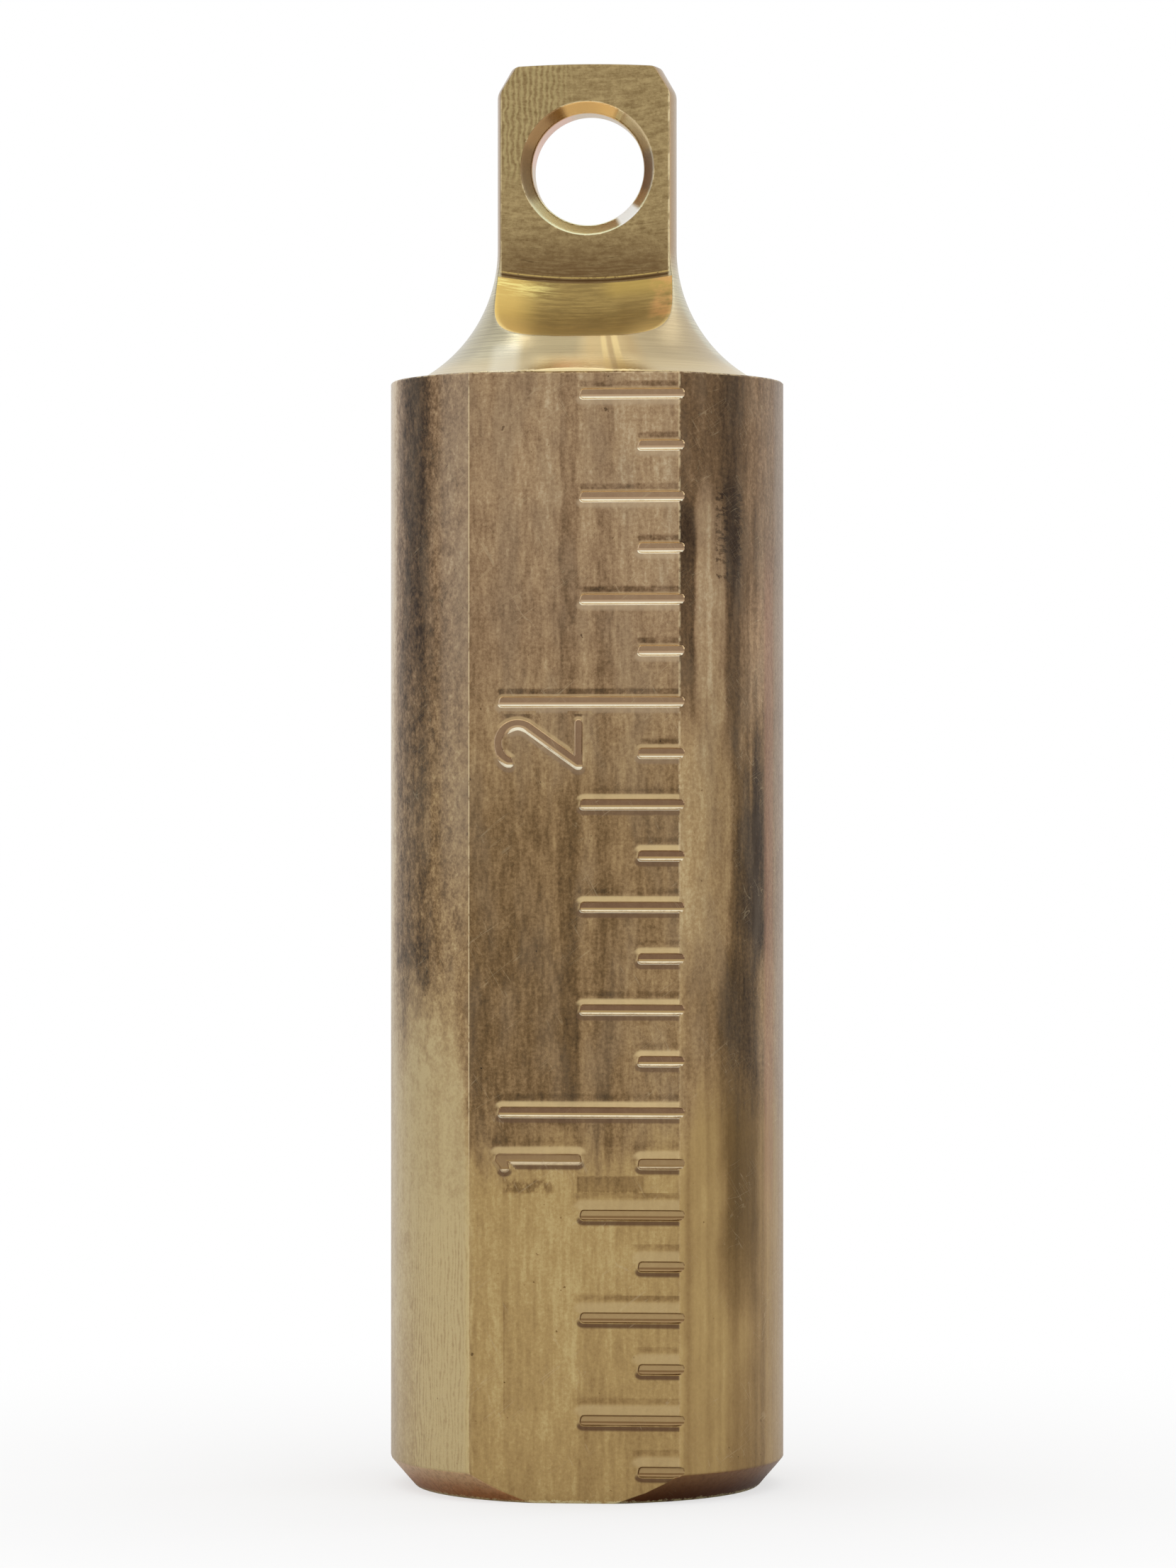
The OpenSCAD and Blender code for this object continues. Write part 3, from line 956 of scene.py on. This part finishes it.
def mark_colours(s, colour):
    """Each mark: a painted highlight on the raised metal above it, painted shade below it (light
    under the upper marks), a groove whose lower wall is in painted light and shade with a
    painted highlight at its foot, and its outline in painted light and shade. Distances are
    in mm from the mark's line."""
    d, level, front = s.d, s.level, s.front
    high, middle, low = s.high, s.middle, s.low
    above = s.bearing.step(0.3, 0.9)
    below = (-s.bearing).step(0.4, 1.4)

    def by_height(upper, between, lower):
        """A colour that changes from the upper marks to the lower ones, as the painted light and
        shade differ with how light falls on them.
        """
        return s.mix(high, s.mix(low, between, lower), upper)

    # Painted highlight on the raised metal above each mark and round its end; painted shade below
    outside = d.step(0.24, 0.265) * s.on_flat
    reach = 0.31 * high + 0.50 * middle + 0.72 * low
    lit_mound = above * outside * (1 - (d - reach).step(0, 0.06 + 0.12 * middle + 0.24 * low))
    past_end = (1 - above) * (1 - below) * outside * d.fall(0.26, 0.42) * (1 - high)
    lit_mound = (0.7 + 0.15 * middle) * (0.75 + 0.25 * s.patchy) * lit_mound.max(0.6 * past_end)
    under = below * outside * d.fall(0.36 + 0.03 * middle, 0.46 + 0.06 * high)

    # The groove's floor, the lower wall in painted light and shade, the painted highlight line
    # at its foot, and its painted gloss
    inside = d.fall(0.205, 0.235) * front
    broken = 0.55 + 0.45 * s.grain.step(0.34, 0.54)
    wall = inside * level.band(-0.20, 0.045, 0.05)
    wall_foot_highlight = inside * level.band(-0.33, 0.045, 0.05) * broken * (1 - high)
    glossy = (high + 0.5 * middle) * level.band(-0.35, 0.075, 0.04)
    glossy = glossy * below * d.fall(0.25, 0.28) * front * (0.8 + 0.2 * broken)

    # The outline, in painted light and shade: thin above, heavier round the mark's end
    outline = d.band(0.22, 0.018, 0.022) * s.on_flat
    outline = outline.max(s.cut.band(0.035, 0.012, 0.016) * (1 - s.on_flat)) * (1 - below)
    return s.paint(
        colour,
        (lit_mound, by_height((176, 147, 108), (218, 192, 142), (190, 165, 120))),
        ((0.6 + 0.25 * low + 0.15 * middle) * under,
         by_height((190, 166, 134), (110, 86, 66), (90, 64, 48))),
        (0.85 * inside, by_height((154, 126, 98), (124, 95, 72), (168, 141, 100))),
        (0.85 * wall, by_height((200, 170, 136), (190, 160, 110), (124, 94, 60))),
        (wall_foot_highlight, by_height((255, 246, 218), (246, 226, 184), (168, 138, 98))),
        (glossy, (255, 248, 222)),
        ((0.6 + 0.35 * high) * outline * above,
         by_height((255, 222, 168), (214, 178, 138), (112, 84, 54))),
        (0.8 * outline * (1 - above),
         by_height((226, 200, 166), (150, 118, 88), (92, 62, 42))))


def worn_and_highlit_edges(s, colour):
    """Bright worn edges, partly bare metal and partly painted highlight, along the flat's edges,
    the shoulder's rim and the foot's rim, and how much of it is along the flat's edges."""
    gaps = s.noise((1, 1, 1), 2.4, 3, 0.6, 53.0)
    on_right = s.x.step(-1, 1)
    edge = s.x.size().band(FLAT_HALF_W, 0.015 + 0.035 * on_right, 0.03)
    edge = edge * s.d.step(0.24, 0.3) * s.y.fall(-10.55, -10.45)
    left_wear = 0.2 + 0.6 * s.z.step(18, 26)
    right_wear = 0.08 + 0.45 * s.z.step(24, 50)
    wear_here = left_wear + (right_wear - left_wear) * on_right
    wear_here = wear_here * gaps.step(0.28 + 0.1 * on_right, 0.5 + 0.1 * on_right)
    inside_rim = ((s.x * s.x + s.y * s.y) ** 0.5 - BODY_R).max(-s.y + FLAT_Y)
    rim = s.z.band(SHOULDER, 0.05, 0.06) * gaps.step(0.44, 0.56) * inside_rim.step(-0.16, -0.08)
    foot_rim = (1 - (s.z + 0.5 * s.fine).step(0.08, 0.2)) * gaps.step(0.3, 0.5)
    colour = s.paint(colour, (edge * wear_here, (226, 204, 162)), (0.6 * rim, (222, 200, 156)),
                     (0.75 * foot_rim, (214, 204, 160)))
    return colour, edge


def turning_chatter(s):
    """Fine wavy lines that the tool left beside the flat, low down on the left."""
    along = s.around * (math.pi / 180 * BODY_R / CHATTER_PITCH)
    wander = s.noise((1, 1, 0.3), 0.7, 3, 0.6, 91.0) * 4
    lines = ((along + wander) * (2 * math.pi)).sine()
    return lines * s.around.band(-44, 8, 8) * s.z.band(9, 6, 5)


def scratch_lines(s):
    """Fine straight scratches in two directions."""
    lines = 0
    for turn, shift in ((28, 61.0), (-52, 67.0)):
        turned = s.node("ShaderNodeVectorRotate", {"rotation_type": "Y_AXIS"}, {
            "Vector": s.place, "Angle": math.radians(turn)})
        vector = s.node("ShaderNodeMapping", inputs={
            "Vector": turned, "Location": (shift, 0, shift), "Scale": (2.4, 0.3, 0.10)})
        lines = s.noise_at(vector, 1.4, 0.0).band(0.5, 0.003, 0.006).max(lines)
    return lines * s.noise((1, 1, 1), 0.4, 2, 0.5, 71.0).step(0.5, 0.62)


def body_material():
    """Old brown brass: tarnished in drawn-out bands and patches, some of them painted reflections,
    rubbed golden near the foot, with bright worn edges that carry a painted highlight, and
    painted light and shade with some dirt round the stamped marks."""
    s = BodySurface()
    # The tarnish carries painted shade above the marks and painted reflections on the round side
    tarnish = body_tarnish_and_shade(s)
    colour = foot_colours(s, body_colour(s, tarnish))
    colour, edge = worn_and_highlit_edges(s, mark_colours(s, colour))
    scratches = scratch_lines(s)
    colour = s.mix(0.22 * scratches, colour, (200, 180, 144))
    roughness = 0.31 + 0.16 * tarnish + 0.12 * s.fine - 0.10 * edge
    relief = 0.005 * s.fine + 0.016 * s.speck + 0.004 * s.drawn + 0.03 * s.cloud
    return s.finish(colour, roughness, relief - 0.003 * scratches)


class StemSurface(Surface):
    """Machined brass, with masks for the stem's machined surfaces."""

    def __init__(self):
        super().__init__("machined_brass")
        x, y, z = self.x, self.y, self.z
        self.h = z - SHOULDER
        self.out = out = y.size()
        from_cutter = self.h - (COVE_LOW + COVE_R + CUTTER_SWING)
        self.reach = (x * x + from_cutter * from_cutter) ** 0.5
        across = (self.reach - CUTTER_SWING).max(0)
        depth = (COVE_OUT - out).max(0)
        from_cove = ((across * across + depth * depth) ** 0.5 - COVE_R).size()
        self.cove = from_cove.fall(0.04, 0.07) * self.reach.step(CREASE - 0.02, CREASE + 0.02)

        eye_x, eye_z = x - EYE_X, z - EYE_Z
        self.from_eye = (eye_x * eye_x + eye_z * eye_z) ** 0.5
        self.clock = eye_x.angle(eye_z)
        mouth = 1 - (self.from_eye - (EYE_MOUTH_R - TANG_HALF + out)).size().step(0.05, 0.08)
        self.mouth = mouth * self.from_eye.fall(EYE_MOUTH_R - 0.03, EYE_MOUTH_R + 0.02)
        self.bore = self.from_eye.fall(EYE_R + 0.02, EYE_R + 0.06)

        face = out.fall(TANG_HALF + 0.02, TANG_HALF + 0.05) * out.step(1.88, 1.92)
        face = face * self.reach.fall(CREASE, CREASE + 0.03)
        face = face * (1 - x.size().step(TANG_HALF_W, TANG_HALF_W + 0.04))
        self.face = face * (1 - self.mouth) * (1 - self.bore)
        self.turned = (1 - self.face) * (1 - self.cove) * (1 - self.mouth) * (1 - self.bore)

        # To the right on the side that is looked at, front or back
        self.side = y.math("SIGN", -y) * x
        self.mottle = self.noise((0.6, 1, 1.3), 2.0, 5, 0.68)
        self.speck = self.mottle - 0.5
        self.grain = self.noise((1, 1, 1), 6.5, 3, 0.7, 5.0)
        self.fine = self.grain - 0.5
        self.rings = self.noise((0.07, 0.07, 7.0), 2.4, 4, 0.7, 9.0)
        self.lines = self.noise_at(self.join(x * 0.3, out, self.reach * 4.6), 1.6, 5, 0.7)
        self.chatter = self.node("ShaderNodeTexWave", {
            "wave_type": "BANDS", "bands_direction": "X", "wave_profile": "SIN"}, {
            "Vector": self.join(x, out, z * 0.8), "Scale": 0.9, "Distortion": 7.0, "Detail": 3.0,
            "Detail Scale": 1.3, "Detail Roughness": 0.65}, out="Fac")
        self.chatter_here = self.side.fall(-2.8, 0.4) * z.step(81.5, 84.5)


def turned_colours(s):
    """Turned surfaces: pale with rings, with painted reflections on the flare that are golden to
    the right of the front, painted highlights and lamp streaks on it, and browner on the neck."""
    x, h = s.x, s.h
    around = x.angle(-s.y)
    on_flare = h.fall(3.5, 6)
    colour = s.mix(s.rings.step(0.3, 0.7), (172, 164, 136), (210, 200, 166))
    for share, window, tint in FLARE_REFLECTIONS:
        colour = s.mix(share * around.band(*window) * on_flare, colour, tint)
    # Painted highlights low on the flare and up its left, and painted golden streaks of lamp
    # reflections with a darker line between them
    low_highlight = h.band(0.2, 0.3, 1.0)
    streaks = (around.band(11.5, 0.5, 1.2) + around.band(16.5, 0.8, 1.2)) * h.fall(2.5, 4)
    return s.paint(
        colour, (0.5 * low_highlight, (230, 208, 160)),
        (0.8 * low_highlight * x.band(0.6, 2.4, 1.4), (255, 232, 178)),
        (0.45 * x.band(-4.5, 0.5, 0.8) * h.fall(1.6, 2.4), (240, 234, 212)),
        (0.4 * streaks, (255, 228, 160)), (0.25 * around.band(14, 0.4, 1.2), (150, 112, 62)),
        (0.9 * h.step(6.2, 8.6), (158, 126, 84)))


def tang_colours(s):
    """The tang's faces: olive, with milling lines about the cutter's axis, chatter at
    the upper left, and dark lines towards the crease above the cove."""
    lines, chatter, sideways = s.lines, s.chatter, s.x.size()
    olive = s.mix((s.mottle + 0.6 * s.fine + 0.5 * (lines - 0.5)).step(0.16, 0.84),
                  (134, 111, 73), (186, 163, 116))
    low = (1 - (s.z + 1.6 * s.speck).step(76.8, 80.6)) * (1 - 0.3 * sideways.step(4.2, 5.2))
    light_lines = lines.step(0.58, 0.7) * low * sideways.step(1.5, 4.5)
    dark_lines = lines.fall(0.3, 0.42) * s.z.fall(77.5, 81.5)
    light_edge = s.reach.band(CREASE - 0.34, 0.02, 0.04) * s.grain.step(0.3, 0.5)
    return s.paint(
        olive, (0.5 * chatter * s.chatter_here, (196, 178, 126)),
        (0.3 * (1 - chatter) * s.chatter_here, (124, 98, 62)),
        (0.9 * low * (0.5 + 0.5 * lines.step(0.35, 0.6)), (108, 82, 52)),
        (0.55 * light_lines, (176, 150, 98)), (0.6 * dark_lines, (80, 58, 36)),
        (0.8 * light_edge, (206, 178, 108)),
        (0.8 * s.reach.band(CREASE - 0.17, 0.04, 0.05), (80, 56, 32)))


def cove_colours(s):
    """The coves, in painted reflections: gold from light bouncing in the hollow, brighter at the
    upper left with broken painted highlight lines, an orange reflection at the far right,
    lighter low down, and olive in the middle.
    """
    side = s.side
    down = s.reach - CREASE
    high = down.fall(0.3, 1.5)
    gold = s.mix((s.lines + 0.3 * s.speck).step(0.35, 0.7), (152, 129, 79), (182, 156, 96))
    rosy = s.noise((0.8, 1, 1), 1.0, 3, 0.55, 43.0).step(0.36, 0.6)
    deep = down.step(2.2, 3.8) * (0.4 + 0.6 * side.size().step(2.2, 4.2))
    # Broken painted highlight lines at the upper left
    bright = high * s.lines.step(0.46, 0.6) * side.fall(-3.6, -1.2)
    return s.paint(
        gold, (0.85 * side.fall(-4.6, -2.2), (232, 200, 118)),
        (0.7 * high * side.step(0.6, 2.2), (202, 172, 96)),
        (0.35 * side.band(3.2, 0.6, 0.6) * (1 - high), (148, 122, 74)),
        (0.55 * side.step(3.9, 4.8) * rosy, (236, 180, 118)),
        (0.85 * deep, (252, 224, 152)), (0.85 * bright, (255, 240, 156)))


def countersink_reflections(s):
    """The countersinks: polished, in painted reflections, brown at the sides and orange at the
    top, with a white painted highlight low on the right.
    """
    ring = s.mix(s.clock.size().step(70, 150), (182, 150, 106), (234, 234, 194))
    return s.paint(ring, *[(share * s.clock.band(*window), tint)
                           for share, window, tint in RING_REFLECTIONS])


def nicks_and_highlights(s):
    """Nicked edges, bright as bare metal with a painted highlight: the tang's upright edges and
    the countersinks' rims.
    """
    gaps = s.noise((1, 1, 1), 1.1, 5, 0.65, 17.0)
    edge = s.x.size().band(TANG_HALF_W, 0.03, 0.05) * s.out.step(1.84, 1.92)
    edge = edge * s.out.fall(2.02, 2.06) * s.z.step(72, 75)
    edge = edge * (0.25 + 0.75 * gaps.step(0.42, 0.56)) * (0.45 + 0.55 * s.side.step(-1, 1))
    rim = s.from_eye.band(EYE_MOUTH_R, 0.01, 0.03) * s.face.max(s.mouth) * gaps.step(0.5, 0.58)
    return edge.max(rim)


def stem_material():
    """Machined brass: an olive tang with milling marks, a golden cove, a pale turned flare and a
    polished countersink, with painted reflections and highlights on the cove, the flare, the
    bore and the countersink."""
    s = StemSurface()
    # The bore's wall, with a painted coral reflection at its upper left
    bore = s.mix(s.clock.band(-52, 26, 16), (182, 152, 104), (206, 148, 112))
    bright = nicks_and_highlights(s)
    colour = s.paint(turned_colours(s), (s.face, tang_colours(s)), (s.cove, cove_colours(s)),
                     (s.mouth, countersink_reflections(s)), (s.bore * (1 - s.mouth), bore),
                     (0.8 * bright, (244, 226, 180)))
    roughness = 0.23 + 0.08 * s.fine + 0.17 * s.face + 0.27 * s.cove - 0.05 * bright
    relief = 0.003 * s.fine + 0.006 * s.speck * s.face
    relief = relief + 0.010 * s.lines * (s.face + 0.6 * s.cove)
    relief = relief + 0.012 * s.chatter * s.chatter_here * s.face + 0.008 * s.rings * s.turned
    # The countersink's painted highlight and painted orange reflection at its top are partly
    # flat colour, so that they stay bright
    bare = s.clock.band(*GLINT).max(0.5 * s.clock.band(*RING_TOP_REFLECTION))
    return s.finish(colour, roughness, relief, metallic=1 - s.mouth * bare)


def camera():
    data = bpy.data.cameras.new("camera")
    data.sensor_width = SENSOR
    data.lens = FOCAL_PIXELS / IMAGE_H * SENSOR
    data.clip_start = 0.01
    data.clip_end = 100
    place = bpy.data.objects.new("camera", data)
    direction = Vector((math.sin(CAMERA_TURN), -math.cos(CAMERA_TURN), 0))
    place.location = direction * CAMERA_DISTANCE + Vector((CAMERA_AIM_X, 0, CAMERA_HEIGHT))
    place.rotation_euler = (math.pi / 2, 0, CAMERA_TURN)
    bpy.context.scene.collection.objects.link(place)
    bpy.context.scene.camera = place


def floor():
    """A pale floor that reads as white to the camera but keeps the object's shadow."""
    mesh = bpy.data.meshes.new("floor")
    corners = ((-1, -1), (1, -1), (1, 1), (-1, 1))
    mesh.from_pydata([(FLOOR_HALF * x, FLOOR_HALF * y, 0) for x, y in corners], [], [(0, 1, 2, 3)])
    material = bpy.data.materials.new("floor")
    material.use_nodes = True
    material.node_tree.nodes.clear()
    g = Graph(material.node_tree)
    x, y, z = g.split(g.node("ShaderNodeTexCoord", out="Object"))
    from_object = (x * x + y * y) ** 0.5
    camera_ray = g.node("ShaderNodeLightPath", out="Is Camera Ray")
    white = camera_ray * (0.62 + 0.38 * from_object.step(0.012, 0.09))
    diffuse = g.node("ShaderNodeBsdfDiffuse", inputs={"Color": (0.92, 0.92, 0.92, 1)})
    glow = g.node("ShaderNodeEmission", inputs={"Color": (1, 1, 1, 1), "Strength": 1.0})
    mixed = g.node("ShaderNodeMixShader", inputs={0: white, 1: diffuse, 2: glow})
    g.node("ShaderNodeOutputMaterial", inputs={"Surface": mixed})
    mesh.materials.append(material)
    plane = bpy.data.objects.new("floor", mesh)
    bpy.context.scene.collection.objects.link(plane)


def world():
    """White all round for the camera and in reflections, with two darker gaps between
    the soft panels beside the object."""
    sky = bpy.data.worlds.new("studio")
    bpy.context.scene.world = sky
    sky.use_nodes = True
    sky.node_tree.nodes.clear()
    g = Graph(sky.node_tree)
    x, y, z = g.split(g.node("ShaderNodeTexCoord", out="Generated"))
    azimuth = x.angle(-y)
    gap = azimuth.band(-118, 9, 12) + azimuth.band(97, 9, 12)
    gap = gap * (1 - z.size().step(0.3, 0.9))
    front = azimuth.band(0, 14, 22) * (1 - z.size().step(0.25, 0.8))
    camera_ray = g.node("ShaderNodeLightPath", out="Is Camera Ray")
    glossy_ray = g.node("ShaderNodeLightPath", out="Is Glossy Ray")
    through_ray = g.node("ShaderNodeLightPath", out="Is Transmission Ray")
    shade = (0.06 + 0.36 * gap + 0.08 * front) * (1 - camera_ray) * (1 - through_ray)
    white = g.node("ShaderNodeBackground", inputs={"Color": (1, 1, 1, 1), "Strength": 1 - shade})
    soft = g.node("ShaderNodeBackground", inputs={"Color": (1, 1, 1, 1), "Strength": 0.9})
    seen = camera_ray.max(glossy_ray).max(through_ray)
    mixed = g.node("ShaderNodeMixShader", inputs={0: seen, 1: soft, 2: white})
    g.node("ShaderNodeOutputWorld", inputs={"Surface": mixed})


def softbox(name, azimuth, height, distance, width, tall, power):
    """A soft lamp that faces the object."""
    data = bpy.data.lights.new(name, "AREA")
    data.shape = "RECTANGLE"
    data.size = width
    data.size_y = tall
    data.energy = power
    lamp = bpy.data.objects.new(name, data)
    turn = math.radians(azimuth)
    lamp.location = (distance * math.sin(turn), -distance * math.cos(turn), height)
    aim = Vector((0, 0, SHOULDER * MM / 2)) - lamp.location
    lamp.rotation_euler = aim.to_track_quat("-Z", "Y").to_euler()
    bpy.context.scene.collection.objects.link(lamp)


def lights():
    """The softboxes: azimuth in degrees, height, distance, width and tallness in metres,
    and watts."""
    softbox("left_softbox", -106, 0.72, 0.42, 0.22, 0.16, 0.2)
    softbox("right_softbox", 125, 0.40, 0.8, 0.20, 1.0, 0.5)
    softbox("top_softbox", 0, 0.95, 0.04, 0.8, 0.8, 0.3)


def look():
    scene = bpy.context.scene
    scene.view_settings.view_transform = "Standard"
    camera()
    floor()
    world()
    lights()


look()

body = weight_body()
stamp(body, body_material())
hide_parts("weight_body")
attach(body, "root")

stem = eye_stem()
stem.data.materials.append(stem_material())
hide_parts("eye_stem")
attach(stem, "root")
